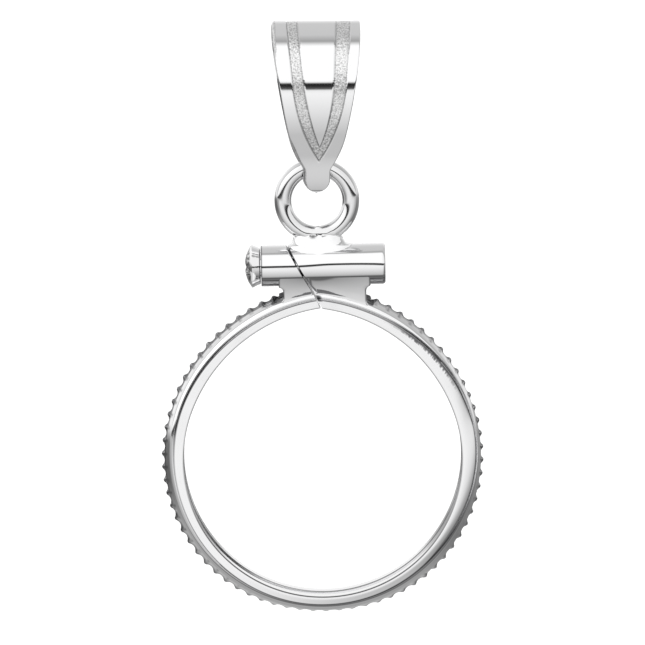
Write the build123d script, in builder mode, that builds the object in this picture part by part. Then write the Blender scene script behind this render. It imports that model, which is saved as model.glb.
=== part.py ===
from build123d import *
import math
import os

# A screw-top coin bezel pendant in polished white metal, hanging from its bail.
# Millimetres. The origin is the seat of the chain, the highest point inside the bail.
# +Z is up, the front faces -Y, and +X is to the right as seen from the front.

# The coin that the ring is made for, and its room in the groove
coin_diameter = 13.0
coin_thickness = 0.90
coin_play = 0.06
coin_side_play = 0.03

# Ring section, from the opening outward
lip_overlap = 0.29
lip_thickness = 0.495
lip_round = 0.10
bead_width = 0.44
bead_bulge = 0.06
crease_half = 0.32
flange_width = 0.26
flange_half = 0.28
flange_bevel = 0.12
mill_half = 0.22
mill_height = 0.18

# Milled edge: shallow scallops with narrow ridges between them
mill_count = 74
mill_depth = 0.13
mill_land = 0.12
mill_clear = 0.22

# The two ends of the ring are bent a little straighter, so they meet in a low peak
arm_angle = 70.0
arm_extra_radius = 1.034

# Barrel of the clamp, its bore, and the bridge under it
barrel_radius = 0.92
barrel_left = 2.57
barrel_right = 3.01
barrel_end_round = 0.12
barrel_gap = 0.23
bore_radius = 0.53
bore_end_wall = 0.66
bridge_left = 1.60
bridge_right = 2.13
bridge_fillet = 0.30
bridge_top_half = 0.74
bridge_foot_half = 0.42

# Saw cut that splits the barrel, the bridge and the top of the ring
saw_offset = 0.90
saw_angle = 61.8
saw_width = 0.07

# Clamp screw
screw_clearance = 0.03
screw_head_gap = 0.03
head_seat_radius = 0.80
head_radius = 0.97
head_taper = 0.38
head_dome = 0.32
shank_end_gap = 0.08
slot_width = 0.50
slot_depth = 0.48
slot_turn = 23.0

# Round wire loop on the barrel, with the solder that flares into the barrel
loop_outer_radius = 1.905
wire_radius = 0.378
loop_gap = 0.09
saddle_neck_half = 1.10
saddle_foot_left = 1.34
saddle_foot_right = 1.55
saddle_height = 0.36
saddle_foot_depth = 0.76

# Bail: a tapered strap folded over the chain and closed round the loop
bail_width = 3.95
bail_wall = 0.30
bail_height = 7.67
bail_hinge_rise = 1.00
crown_radius = 0.90
crown_angle = 61.0
flank_radius = 3.20
belly_share = 1.33
wire_sag = 0.095
wire_play = 0.035
tongue_half = 0.60
tip_round = 0.28
bail_turn = 1.8
bail_lean = 1.1

# The bail's front outline: how far down each turning point is, as a share of the height,
# and how far out it is, as a share of half the width
shoulder_down = 0.17
shoulder_out = 0.962
hip_down = 0.645
hip_out = 0.661
waist_rise = 1.17
waist_flare = 0.075

# Matte V band on the front of the bail, sunk a little, between an outer and an inner V
band_recess = 0.04
band_shift = 0.10
band_wrap = 0.70
band_top_out = 0.729
band_knee_down = 0.365
band_knee_out = 0.600
band_point_rise = 1.45
gap_top_out = 0.443
gap_knee_down = 0.3286
gap_knee_out = 0.349
gap_point_down = 0.725

# Sizes that follow from the ones above
groove_radius = coin_diameter / 2 + coin_play
groove_half = coin_thickness / 2 + coin_side_play
lip_radius = groove_radius - lip_overlap
ring_half = groove_half + lip_thickness
crease_radius = lip_radius + bead_width
flange_radius = crease_radius + flange_width
root_radius = flange_radius + flange_bevel
tip_radius = root_radius + mill_height
loop_radius = loop_outer_radius - wire_radius


def peak_height(radius):
    # How far above the ring's centre an arm of this radius meets the middle plane
    side = arm_extra_radius * math.sin(math.radians(arm_angle))
    drop = arm_extra_radius * math.cos(math.radians(arm_angle))
    return math.sqrt((radius + arm_extra_radius) ** 2 - side**2) - drop


# Heights of the main axes, from the chain seat down
bail_top = bail_wall
tip_z = bail_top - bail_height
hinge_z = tip_z + bail_hinge_rise
loop_z = hinge_z + wire_sag - loop_radius
barrel_z = loop_z - loop_outer_radius - loop_gap - barrel_radius
ring_z = barrel_z - barrel_radius - barrel_gap - peak_height(flange_radius)

front = Plane(origin=(0, 0, 0), x_dir=(1, 0, 0), z_dir=(0, -1, 0))
ring_plane = Plane(origin=(0, 0, ring_z), x_dir=(1, 0, 0), z_dir=(0, -1, 0))
barrel_plane = Plane(origin=(-barrel_left, 0, barrel_z), x_dir=(0, 1, 0), z_dir=(1, 0, 0))


def section_plane(angle):
    # A plane through the ring's axis; its x runs outward and its y runs to the back
    turn = math.radians(angle)
    return Plane(
        origin=(0, 0, ring_z),
        x_dir=(math.cos(turn), 0, math.sin(turn)),
        z_dir=(-math.sin(turn), 0, math.cos(turn)),
    )


def arm_centre(side):
    # Centre of an arm's bend in the ring's own plane, side 1 for right and -1 for left
    turn = math.radians(arm_angle)
    return (-side * arm_extra_radius * math.sin(turn), -arm_extra_radius * math.cos(turn))


with BuildSketch() as ring_section:
    # Half of the section runs from the groove round the lip to the mill, then it is mirrored
    crest = lip_radius + lip_round
    chord = Vector(crease_radius - crest, ring_half - crease_half)
    bulge = Vector(chord.Y, chord.X).normalized() * bead_bulge
    middle = Vector((crest + crease_radius) / 2, (ring_half + crease_half) / 2) + bulge
    with BuildLine():
        Polyline(
            (groove_radius, 0), (groove_radius, groove_half), (lip_radius, groove_half),
            (lip_radius, ring_half - lip_round),
        )
        RadiusArc((lip_radius, ring_half - lip_round), (crest, ring_half), lip_round)
        ThreePointArc((crest, ring_half), middle, (crease_radius, crease_half))
        Polyline(
            (crease_radius, crease_half), (flange_radius, flange_half),
            (root_radius, mill_half), (tip_radius, mill_half), (tip_radius, 0),
        )
        mirror(about=Plane.XZ)
    make_face()


def arm(side):
    # One end of the ring, bent about its own centre and cut off at the middle plane
    x, z = arm_centre(side)
    start = 90 - side * arm_angle
    sweep_angle = math.degrees(math.acos(abs(x) / (tip_radius + arm_extra_radius))) - 90 + arm_angle
    with BuildPart() as bent:
        with BuildSketch(section_plane(start)):
            add(ring_section.sketch)
        revolve(axis=Axis((x, 0, ring_z + z), (0, -side, 0)), revolution_arc=sweep_angle + 4)
        split(bisect_by=Plane.YZ, keep=Keep.TOP if side > 0 else Keep.BOTTOM)
    return bent.part


with BuildSketch() as ring_disc:
    # The whole ring filled in to the middle of its metal, with its low peak at the top
    core_radius = (groove_radius + root_radius) / 2
    reach = core_radius + arm_extra_radius
    top = math.degrees(math.acos(-arm_centre(1)[0] / reach))
    junction = 90 - arm_angle
    with BuildLine():
        CenterArc((0, 0), core_radius, 180 - junction, 180 + 2 * junction)
        CenterArc(arm_centre(1), reach, junction, top - junction)
        CenterArc(arm_centre(-1), reach, 180 - top, top - junction)
    make_face()


def on_ring(turn, radius):
    # A point of the ring's outline, turn in degrees clockwise from the top
    side = 1 if turn > 0 else -1
    away = math.radians(abs(turn))
    if abs(turn) >= arm_angle:
        return (side * radius * math.sin(away), radius * math.cos(away))
    x, z = arm_centre(1)
    reach = radius + arm_extra_radius
    tilt = math.asin((x * math.cos(away) - z * math.sin(away)) / reach)
    bend = away - tilt
    return (side * (x + reach * math.sin(bend)), z + reach * math.cos(bend))


def scallop_places(radius):
    # Even steps along the edge from the bottom, until the bridge is near
    pitch = 2 * math.pi * tip_radius / mill_count
    step = math.degrees(pitch / tip_radius)
    places = []
    for side, stop in ((1, bridge_right), (-1, bridge_left)):
        turn = 180 - step / 2
        while turn > 0:
            x, z = on_ring(side * turn, radius)
            if turn < 90 and abs(x) < stop + mill_clear:
                break
            places.append((x, z))
            bent = turn < arm_angle
            turn -= step * tip_radius / (tip_radius + arm_extra_radius) if bent else step
    return places


with BuildPart() as bridge:
    # Seen from the front: straight sides that flare into the underside of the barrel
    foot = barrel_z - ring_z
    under = foot - barrel_radius
    with BuildSketch(ring_plane):
        with BuildLine():
            Line((-bridge_left, 0), (-bridge_left, under - bridge_fillet))
            RadiusArc(
                (-bridge_left, under - bridge_fillet),
                (-bridge_left - bridge_fillet, under), -bridge_fillet,
            )
            Polyline(
                (-bridge_left - bridge_fillet, under), (-bridge_left - bridge_fillet, foot),
                (bridge_right + bridge_fillet, foot), (bridge_right + bridge_fillet, under),
            )
            RadiusArc(
                (bridge_right + bridge_fillet, under),
                (bridge_right, under - bridge_fillet), -bridge_fillet,
            )
            Polyline((bridge_right, under - bridge_fillet), (bridge_right, 0), (-bridge_left, 0))
        make_face()
    extrude(amount=barrel_radius, both=True)
    # Seen from the side: it narrows from the barrel to the edge of the ring
    waist = barrel_z - math.sqrt(barrel_radius**2 - bridge_top_half**2)
    ledge = ring_z + peak_height(flange_radius)
    with BuildSketch(Plane.YZ):
        Polygon(
            (-bridge_top_half, barrel_z), (-bridge_top_half, waist),
            (-bridge_foot_half, ledge), (-bridge_foot_half, ring_z),
            (bridge_foot_half, ring_z), (bridge_foot_half, ledge),
            (bridge_top_half, waist), (bridge_top_half, barrel_z),
            align=None,
        )
    extrude(amount=barrel_left + barrel_right, both=True, mode=Mode.INTERSECT)
    # It ends inside the metal of the ring
    with BuildSketch(ring_plane):
        add(ring_disc.sketch)
    extrude(amount=barrel_radius, both=True, mode=Mode.SUBTRACT)


with BuildPart() as saddle:
    # Solder between the loop and the barrel, flared on all four sides
    neck_z = barrel_z + barrel_radius + saddle_height
    foot_z = barrel_z + math.sqrt(barrel_radius**2 - saddle_foot_depth**2)
    crown_z = loop_z - loop_radius
    with BuildSketch(front):
        with BuildLine():
            top = barrel_z + barrel_radius
            Polyline((-saddle_foot_left, top), (-saddle_foot_left, barrel_z))
            Polyline((-saddle_foot_left, barrel_z), (saddle_foot_right, barrel_z), (saddle_foot_right, top))
            EllipticalCenterArc(
                (saddle_foot_right, neck_z), saddle_foot_right - saddle_neck_half, saddle_height,
                start_angle=180, arc_size=90,
            )
            Polyline((saddle_neck_half, neck_z), (0.8 * saddle_neck_half, crown_z))
            Polyline((0.8 * saddle_neck_half, crown_z), (-0.8 * saddle_neck_half, crown_z))
            Polyline((-0.8 * saddle_neck_half, crown_z), (-saddle_neck_half, neck_z))
            EllipticalCenterArc(
                (-saddle_foot_left, neck_z), saddle_foot_left - saddle_neck_half, saddle_height,
                start_angle=270, arc_size=90,
            )
        make_face()
    extrude(amount=barrel_radius, both=True)
    with BuildSketch(Plane.YZ):
        with BuildLine():
            EllipticalCenterArc(
                (saddle_foot_depth, crown_z), saddle_foot_depth - wire_radius, crown_z - foot_z,
                start_angle=180, arc_size=90,
            )
            Polyline((saddle_foot_depth, foot_z), (saddle_foot_depth, barrel_z), (0, barrel_z))
            Line((wire_radius, crown_z), (0, crown_z))
            mirror(about=Plane.YZ)
        make_face()
    extrude(amount=2 * saddle_foot_right, both=True, mode=Mode.INTERSECT)


with BuildPart() as bezel:
    # The round stretch of the ring, then its two bent ends
    with BuildSketch(section_plane(90 + arm_angle)):
        add(ring_section.sketch)
    revolve(axis=Axis((0, 0, ring_z), (0, -1, 0)), revolution_arc=360 - 2 * arm_angle)
    add(arm(1))
    add(arm(-1))

    # Milled edge
    scallop_radius = (2 * math.pi * tip_radius / mill_count - mill_land) / 2
    scallop_radius = (scallop_radius**2 + mill_depth**2) / (2 * mill_depth)
    with BuildSketch(ring_plane):
        with Locations(*scallop_places(tip_radius - mill_depth + scallop_radius)):
            Circle(scallop_radius)
    extrude(amount=flange_half, both=True, mode=Mode.SUBTRACT)

    # Barrel, bridge, loop and solder
    with BuildSketch(barrel_plane):
        Circle(barrel_radius)
    extrude(amount=barrel_left + barrel_right)
    fillet(edges().filter_by(GeomType.CIRCLE).sort_by(Axis.X)[-1], barrel_end_round)
    add(bridge.part)
    add(saddle.part)
    with BuildSketch(Plane(origin=(0, 0, loop_z), x_dir=(1, 0, 0), z_dir=(0, 0, 1))):
        with Locations((loop_radius, 0)):
            Circle(wire_radius)
    revolve(axis=Axis((0, 0, loop_z), (0, 1, 0)))

    # Bore for the screw, open at the left end only
    with BuildSketch(barrel_plane):
        Circle(bore_radius)
    extrude(amount=barrel_left + barrel_right - bore_end_wall, mode=Mode.SUBTRACT)

    # Saw cut, from above the barrel to the ring's opening
    with BuildSketch(front):
        with Locations(Location((-saw_offset, barrel_z), -saw_angle)):
            Rectangle(2 * (barrel_z - ring_z - lip_radius / 2), saw_width)
    extrude(amount=2 * barrel_radius, both=True, mode=Mode.SUBTRACT)

bezel.part.label = "bezel"


with BuildPart() as clamp_screw:
    # Head and shank turned about the barrel's axis, x measured from the barrel's left end
    seat = -screw_head_gap
    shank_radius = bore_radius - screw_clearance
    shank_end = barrel_left + barrel_right - bore_end_wall - shank_end_gap
    with BuildSketch(Plane(origin=(-barrel_left, 0, barrel_z), x_dir=(1, 0, 0), z_dir=(0, -1, 0))):
        with BuildLine():
            Polyline(
                (seat - head_taper - head_dome, 0), (shank_end, 0), (shank_end, shank_radius),
                (seat, shank_radius), (seat, head_seat_radius), (seat - head_taper, head_radius),
            )
            ThreePointArc(
                (seat - head_taper, head_radius),
                (seat - head_taper - 0.78 * head_dome, 0.52 * head_radius),
                (seat - head_taper - head_dome, 0),
            )
        make_face()
    revolve(axis=Axis((0, 0, barrel_z), (1, 0, 0)))
    # Slot with a round bottom; its near end points down and to the front
    slot_plane = Plane(
        origin=(-barrel_left + seat - head_taper - head_dome, 0, barrel_z),
        x_dir=(1, 0, 0),
        z_dir=(0, -math.cos(math.radians(slot_turn)), -math.sin(math.radians(slot_turn))),
    )
    with BuildSketch(slot_plane):
        with Locations((slot_depth - slot_width / 2, 0)):
            Circle(slot_width / 2)
        with Locations(((slot_depth - slot_width / 2) / 2 - head_dome / 2, 0)):
            Rectangle(slot_depth - slot_width / 2 + head_dome, slot_width)
    extrude(amount=2 * head_radius, both=True, mode=Mode.SUBTRACT)

clamp_screw.part.label = "clamp_screw"


# The bail is drawn upright, straight above the loop. In its side view y runs to the back.
slot_radius = wire_radius + wire_sag + wire_play
tongue_depth = slot_radius + bail_wall


def around(centre, radius, angle):
    # A point on a circle, its angle measured up from the horizontal
    turn = math.radians(angle)
    return centre + Vector(radius * math.cos(turn), radius * math.sin(turn))


def front_point(out, down):
    # A point of the bail's front view from its shares of half the width and of the height
    return (out * bail_width / 2, bail_top - down * bail_height)


def strap_arcs():
    # Side view of one half: centres of crown, flank and belly, the belly's radius, and how far
    # the straight run below it leans in, so that it ends tangent to the tongue round the hinge
    crown = Vector(0, bail_top - crown_radius)
    flank = around(crown, crown_radius - flank_radius, crown_angle)
    belly_radius = belly_share * (flank.Y - hinge_z)
    belly = flank + Vector(flank_radius - belly_radius, 0)
    drop = Vector(0, hinge_z) - belly
    fall = math.degrees(math.atan2(-drop.Y, drop.X) - math.acos((belly_radius - tongue_depth) / drop.length))
    return crown, flank, belly, belly_radius, fall


def bail_profile(skin):
    # One half of the folded strap down to the hinge's level, skin in from its outer face
    crown, flank, belly, belly_radius, fall = strap_arcs()
    top = around(crown, crown_radius - skin, 90)
    shoulder = around(crown, crown_radius - skin, crown_angle)
    widest = around(flank, flank_radius - skin, 0)
    waist = around(belly, belly_radius - skin, -fall)
    touch = around(Vector(0, hinge_z), tongue_depth - skin, -fall)
    ThreePointArc(top, around(crown, crown_radius - skin, (90 + crown_angle) / 2), shoulder)
    ThreePointArc(shoulder, around(flank, flank_radius - skin, crown_angle / 2), widest)
    ThreePointArc(widest, around(belly, belly_radius - skin, -fall / 2), waist)
    Line(waist, touch)
    return touch


with BuildPart() as band:
    # A skin as thin as the recess, over the front and just past the crown, cut to a V
    with BuildSketch(Plane.YZ):
        with BuildLine():
            outer_end = bail_profile(0)
            inner_end = bail_profile(band_recess)
            Line(outer_end, inner_end)
            mirror(about=Plane.YZ)
        make_face()
        with Locations((bail_width, bail_top - bail_height / 2)):
            Rectangle(2 * (bail_width - band_wrap), bail_height, mode=Mode.SUBTRACT)
    extrude(amount=bail_width / 2, both=True)
    with BuildSketch(Plane(origin=(band_shift, 0, 0), x_dir=(1, 0, 0), z_dir=(0, -1, 0))):
        with BuildLine():
            outer_point = (0, tip_z + band_point_rise)
            inner_point = front_point(0, gap_point_down)
            outer_side = Line(front_point(band_top_out, 0), front_point(band_knee_out, band_knee_down))
            TangentArc(outer_side @ 1, outer_point, tangent=outer_side % 1)
            Line(outer_point, inner_point)
            inner_side = Line(front_point(gap_top_out, 0), front_point(gap_knee_out, gap_knee_down))
            TangentArc(inner_side @ 1, inner_point, tangent=inner_side % 1)
            Line(outer_side @ 0, inner_side @ 0)
        make_face()
        mirror(about=Plane.YZ)
    extrude(amount=bail_width, both=True, mode=Mode.INTERSECT)


with BuildPart() as upright_bail:
    # Seen from the side: the folded strap with its two ends soldered below the loop
    with BuildSketch(Plane.YZ):
        with BuildLine():
            touch = bail_profile(0)
            fall = strap_arcs()[4]
            turn = math.radians(fall)
            # the straight run goes on to the tip, where a small round ends it
            inset = tongue_depth - tip_round + math.sin(turn) * (tip_z + tip_round - hinge_z)
            tip = Vector(inset / math.cos(turn), tip_z + tip_round)
            Line(touch, around(tip, tip_round, -fall))
            ThreePointArc(
                around(tip, tip_round, -fall), around(tip, tip_round, -(90 + fall) / 2),
                around(tip, tip_round, -90),
            )
            Line(around(tip, tip_round, -90), (0, tip_z))
            mirror(about=Plane.YZ)
        make_face()
    extrude(amount=bail_width, both=True)
    # Chain space above, a round seat for the wire of the loop below
    with BuildSketch(Plane.YZ):
        with BuildLine():
            touch = bail_profile(bail_wall)
            fall = strap_arcs()[4]
            ThreePointArc(
                touch, around(Vector(0, hinge_z), slot_radius, -(90 + fall) / 2),
                (0, hinge_z - slot_radius),
            )
            mirror(about=Plane.YZ)
        make_face()
    extrude(amount=bail_width, both=True, mode=Mode.SUBTRACT)

    # Seen from the front: it tapers in a soft curve to a waist, then a round tongue
    with BuildSketch(front):
        with BuildLine():
            edge = Line((bail_width / 2, bail_top + bail_wall), (bail_width / 2, bail_top))
            edge = TangentArc(edge @ 1, front_point(shoulder_out, shoulder_down), tangent=edge % 1)
            edge = TangentArc(edge @ 1, front_point(hip_out, hip_down), tangent=edge % 1)
            waist = (tongue_half + waist_flare, tip_z + waist_rise)
            edge = TangentArc(edge @ 1, waist, tangent=edge % 1)
            slope = math.degrees(math.asin(-(edge % 1).X))
            curl = waist_flare / (1 - math.cos(math.radians(slope)))
            edge = JernArc(start=edge @ 1, tangent=edge % 1, radius=curl, arc_size=slope)
            edge = Line(edge @ 1, (tongue_half, tip_z + tongue_half))
            RadiusArc(edge @ 1, (0, tip_z), tongue_half)
            Line((0, tip_z), (0, bail_top + bail_wall))
            Line((0, bail_top + bail_wall), (bail_width / 2, bail_top + bail_wall))
        make_face()
        mirror(about=Plane.YZ)
    extrude(amount=bail_width, both=True, mode=Mode.INTERSECT)
    add(band.part, mode=Mode.SUBTRACT)


with BuildPart() as bail:
    # It hangs a little turned and leaning in the play that it has on the loop
    with Locations(Pos(0, 0, hinge_z) * Rot(0, bail_lean, bail_turn) * Pos(0, 0, -hinge_z)):
        add(upright_bail.part)

bail.part.label = "bail"

os.makedirs("parts", exist_ok=True)
export_step(bezel.part, "parts/bezel.step")
export_step(clamp_screw.part, "parts/clamp_screw.step")
export_step(bail.part, "parts/bail.step")
for piece in (bezel, clamp_screw, bail):
    box = piece.part.bounding_box()
    print(piece.part.label, "solids", len(piece.part.solids()), "volume", round(piece.part.volume, 3), box)
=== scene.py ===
import math

import bmesh
import bpy
from mathutils import Matrix, Vector, noise


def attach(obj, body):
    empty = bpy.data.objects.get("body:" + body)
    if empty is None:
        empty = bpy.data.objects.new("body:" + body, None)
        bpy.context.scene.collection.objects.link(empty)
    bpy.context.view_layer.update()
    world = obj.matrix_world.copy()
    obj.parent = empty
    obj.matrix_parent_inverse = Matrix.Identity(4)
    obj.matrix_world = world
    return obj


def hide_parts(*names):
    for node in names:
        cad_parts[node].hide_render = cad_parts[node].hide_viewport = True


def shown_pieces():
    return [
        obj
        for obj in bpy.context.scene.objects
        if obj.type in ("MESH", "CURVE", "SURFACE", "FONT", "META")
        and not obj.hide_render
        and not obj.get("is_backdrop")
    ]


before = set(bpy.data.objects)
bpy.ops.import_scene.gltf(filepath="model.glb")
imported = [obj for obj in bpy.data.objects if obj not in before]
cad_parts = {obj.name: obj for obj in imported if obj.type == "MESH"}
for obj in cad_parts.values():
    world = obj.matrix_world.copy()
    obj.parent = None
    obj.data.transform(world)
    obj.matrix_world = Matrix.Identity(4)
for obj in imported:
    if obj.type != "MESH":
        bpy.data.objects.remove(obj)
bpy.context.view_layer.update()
print("frame loaded")

mm = 0.001
scene = bpy.context.scene


def lerp(a, b, t):
    return a + (b - a) * t


def spread(a, b, n):
    # n + 1 even steps from a to b
    return [lerp(a, b, i / n) for i in range(n + 1)]


def fullTurn(n):
    # n even angles round a circle
    return [2 * math.pi * i / n for i in range(n)]


def easeStep(t):
    t = min(max(t, 0.0), 1.0)
    return t * t * (3 - 2 * t)


def hermite(t, a, b, slopeA, slopeB):
    return ((1 + 2 * t) * (1 - t) ** 2 * a + t * (1 - t) ** 2 * slopeA
            + t * t * (3 - 2 * t) * b + t * t * (t - 1) * slopeB)


def hump(d, width):
    # 1 at the middle, 0 at width and beyond
    return easeStep(1 - abs(d) / width)


def waves(point, size, seed=0.0):
    # slow random waves, about -1 to 1
    return noise.noise(Vector(point) / size + Vector((seed, 1.7 * seed, -seed)))


def addObject(name, data):
    thing = bpy.data.objects.new(name, data)
    scene.collection.objects.link(thing)
    return thing


# camera, at the photo's viewing angle

cameraValues = {
    "elevation": 8.5,        # degrees above the horizontal
    "roll": 1.3,             # degrees, how far the object leans in the picture
    "distance": 280.0,       # mm
    "target": (0.13, 0.0, -13.348),
    "frameWidth": 29.05,     # mm across the picture at the target
    "sensor": 36.0,          # mm
    "clip": (0.01, 200.0),   # metres
}


def placeCamera(v):
    tilt = math.radians(v["elevation"])
    roll = math.radians(v["roll"])
    look = Vector((0, math.cos(tilt), -math.sin(tilt)))
    level = Vector((1, 0, 0))
    rise = Vector((0, math.sin(tilt), math.cos(tilt)))
    right = level * math.cos(roll) - rise * math.sin(roll)
    up = level * math.sin(roll) + rise * math.cos(roll)
    data = bpy.data.cameras.new("photoCamera")
    data.sensor_width = v["sensor"]
    data.lens = v["sensor"] * v["distance"] / v["frameWidth"]
    data.clip_start, data.clip_end = v["clip"]
    camera = addObject("photoCamera", data)
    spot = Vector(v["target"]) - look * v["distance"]
    turn = Matrix((right, up, -look)).transposed().to_4x4()
    camera.matrix_world = Matrix.Translation(spot * mm) @ turn
    scene.camera = camera


placeCamera(cameraValues)
scene.view_settings.view_transform = "Standard"
print("camera placed")


# node helpers

class NodeMaker:
    def __init__(self, tree):
        self.nodes = tree.nodes
        self.links = tree.links
        self.nodes.clear()

    def put(self, value, socket):
        if hasattr(value, "links"):
            self.links.new(value, socket)
        else:
            socket.default_value = value

    def make(self, kind, inputs=None, out=0, **settings):
        node = self.nodes.new(kind)
        for key, value in settings.items():
            setattr(node, key, value)
        for key, value in (inputs or {}).items():
            self.put(value, node.inputs[key])
        return node.outputs[out] if out is not None else node

    def math(self, operation, a, b=0.0):
        return self.make("ShaderNodeMath", {0: a, 1: b}, operation=operation)

    def ramp(self, value, stops):
        node = self.make("ShaderNodeValToRGB", {0: value}, out=None)
        elements = node.color_ramp.elements
        while len(elements) < len(stops):
            elements.new(0.5)
        for element, (place, level) in zip(elements, stops):
            element.position = place
            element.color = (level, level, level, 1)
        return node.outputs[0]

    def show(self, shader):
        self.make("ShaderNodeOutputMaterial", {0: shader}, out=None)


def newMaterial(name):
    material = bpy.data.materials.new(name)
    material.use_nodes = True
    return material, NodeMaker(material.node_tree)


def plainMaterial(name, shader, tone):
    material, n = newMaterial(name)
    n.show(n.make(shader, {"Color": (tone, tone, tone, 1)}))
    return material


def grey(level):
    # linear value of a display grey from 0 to 255
    c = level / 255
    return c / 12.92 if c <= 0.04045 else ((c + 0.055) / 1.055) ** 2.4


# studio: an upright light tent, its brightness set by the height above the horizon

studioValues = {
    "strength": 1.0,
    # degrees up from the level line towards the camera, and the display grey there
    "tent": [
        (-180, 235), (-150, 205), (-120, 178), (-96, 160), (-86, 176), (-77, 168), (-69, 120),
        (-65, 120), (-61, 186), (-57, 194), (-50, 204), (-40, 217), (-30, 231), (-20, 242),
        (-10, 251), (-6, 245), (-4, 95), (0.5, 45), (5, 30), (7, 240), (9, 264), (68, 264),
        (72, 228), (77, 165), (82, 182), (90, 204), (120, 208), (142, 226), (158, 248), (180, 250),
    ],
    # each band: where along the direction's x, y or z a change starts and ends
    "leftBand": (-0.30, -0.65),
    "rightBand": (0.05, 0.75),
    "lessBand": (0.2, 0.8),
    "sideBand": (-0.80, -0.40),
    "backBand": (-0.05, 0.28),
    "straightBand": (0.70, 0.96),
    "highBand": (0.10, 0.40),
    "lowBand": (0.06, -0.08),
    "downBand": (0.25, 0.65),
    "sideLevel": 0.50,       # share of the light left below the level line at the sides, and behind
    "backLevel": 0.22,
    "straightLevel": 0.24,   # what comes back straight behind
    "downLevel": 0.95,       # and straight below
    "downRight": 0.45,       # which starts lower on the right
    "leftLight": 0.30,       # more light above on the left
    "rightShare": 0.62,      # of the dimness on the right
    "rightLevel": 0.86,      # the right side of the tent is a little darker
    "domeRadius": 1.2,       # metres
    "domeParts": (64, 32),   # segments round and down
    "domeTone": 254,
    "floorZ": -36.0,         # mm
    "floorReach": 30.0,      # metres
    "floorTone": 0.95,
    "lampPower": 29.0,       # watts
    "lampSize": 3.0,         # metres
    "lampHeight": 2.2,
}


def makeWorld(v):
    world = bpy.data.worlds.new("lightTent")
    scene.world = world
    world.use_nodes = True
    n = NodeMaker(world.node_tree)

    def fade(value, band, low=0.0, high=1.0, kind="SMOOTHSTEP"):
        return n.make("ShaderNodeMapRange", {0: value, 1: band[0], 2: band[1], 3: low, 4: high},
                      interpolation_type=kind)

    way = n.make("ShaderNodeTexCoord", out=0)
    x, y, z = n.make("ShaderNodeSeparateXYZ", {0: way}, out=None).outputs
    rise = n.math("ARCTAN2", z, n.math("MULTIPLY", y, -1.0))
    share = n.make("ShaderNodeMapRange", {0: rise, 1: -math.pi, 2: math.pi})
    tent = n.ramp(share, [((a + 180) / 360, grey(t)) for a, t in v["tent"]])
    # below the level line it is dim at the sides and dark behind, which outlines the metal
    low = fade(z, v["lowBand"])
    toSide = fade(y, v["sideBand"], 0.0, v["sideLevel"] - 1)
    toBack = fade(y, v["backBand"], 0.0, v["backLevel"] - v["sideLevel"])
    straight = fade(y, v["straightBand"], 0.0, v["straightLevel"])
    dim = n.math("ADD", n.math("ADD", toSide, toBack), straight)
    dim = n.math("MULTIPLY", dim, fade(x, v["lessBand"], 1.0, v["rightShare"], "LINEAR"))
    # straight below it is light again, which the ring's flank mirrors at the bottom
    rightPart = n.math("MULTIPLY", n.math("MAXIMUM", x, 0.0), v["downRight"])
    depth = n.math("MULTIPLY", n.math("ADD", z, rightPart), -1.0)
    dim = n.math("MULTIPLY", dim, fade(depth, v["downBand"], 1.0, 1.0 - v["downLevel"]))
    left = fade(x, v["leftBand"], 0.0, v["leftLight"])
    high = fade(z, v["highBand"])
    above = n.math("ADD", n.math("MULTIPLY", left, high), 1.0)
    level = n.math("ADD", n.math("MULTIPLY", low, dim), above)
    level = n.math("MULTIPLY", level, fade(x, v["rightBand"], 1.0, v["rightLevel"]))
    light = n.make("ShaderNodeVectorMath", {0: tent, 3: level}, operation="SCALE")
    shine = n.make("ShaderNodeBackground", {"Color": light, "Strength": v["strength"]})
    n.make("ShaderNodeOutputWorld", {0: shine}, out=None)


def makeDome(v):
    # a plain white backdrop all round, which only the camera sees
    work = bmesh.new()
    across, down = v["domeParts"]
    bmesh.ops.create_uvsphere(work, u_segments=across, v_segments=down, radius=v["domeRadius"])
    data = bpy.data.meshes.new("backdrop")
    work.to_mesh(data)
    work.free()
    dome = addObject("backdrop", data)
    data.materials.append(plainMaterial("backdropWhite", "ShaderNodeEmission", grey(v["domeTone"])))
    dome.visible_glossy = dome.visible_diffuse = dome.visible_shadow = False
    dome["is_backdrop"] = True


def makeFloor(v):
    far, z = v["floorReach"], v["floorZ"] * mm
    data = bpy.data.meshes.new("floor")
    data.from_pydata([(-far, -far, z), (far, -far, z), (far, far, z), (-far, far, z)], [], [(0, 1, 2, 3)])
    floor = addObject("floor", data)
    data.materials.append(plainMaterial("floorPaper", "ShaderNodeBsdfDiffuse", v["floorTone"]))
    floor.visible_glossy = False
    floor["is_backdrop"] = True
    # a soft lamp for the paper, out of the metal's sight
    lamp = bpy.data.lights.new("paperLamp", "AREA")
    lamp.shape = "DISK"
    lamp.size = v["lampSize"]
    lamp.energy = v["lampPower"]
    lampPiece = addObject("paperLamp", lamp)
    lampPiece.location = (0, 0, v["lampHeight"])
    lampPiece.visible_glossy = False


makeWorld(studioValues)
makeDome(studioValues)
makeFloor(studioValues)
print("studio ready")


# mesh helpers

def addPiece(name, points, faces, body, nodeName, sharpAngle, marks, merge=1e-8, mover=None):
    # marks are point values that the materials read, by name
    data = bpy.data.meshes.new(name)
    data.from_pydata([Vector(p) * mm for p in points], [], faces)
    for mark, values in marks.items():
        data.attributes.new(mark, "FLOAT", "POINT").data.foreach_set("value", values)
    if mover is not None:
        data.transform(mover)
    work = bmesh.new()
    work.from_mesh(data)
    bmesh.ops.remove_doubles(work, verts=work.verts, dist=merge)
    bmesh.ops.recalc_face_normals(work, faces=work.faces)
    work.to_mesh(data)
    work.free()
    data.polygons.foreach_set("use_smooth", [True] * len(data.polygons))
    data.set_sharp_from_angle(angle=math.radians(sharpAngle))
    piece = addObject(name, data)
    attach(piece, body)
    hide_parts(nodeName)


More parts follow.
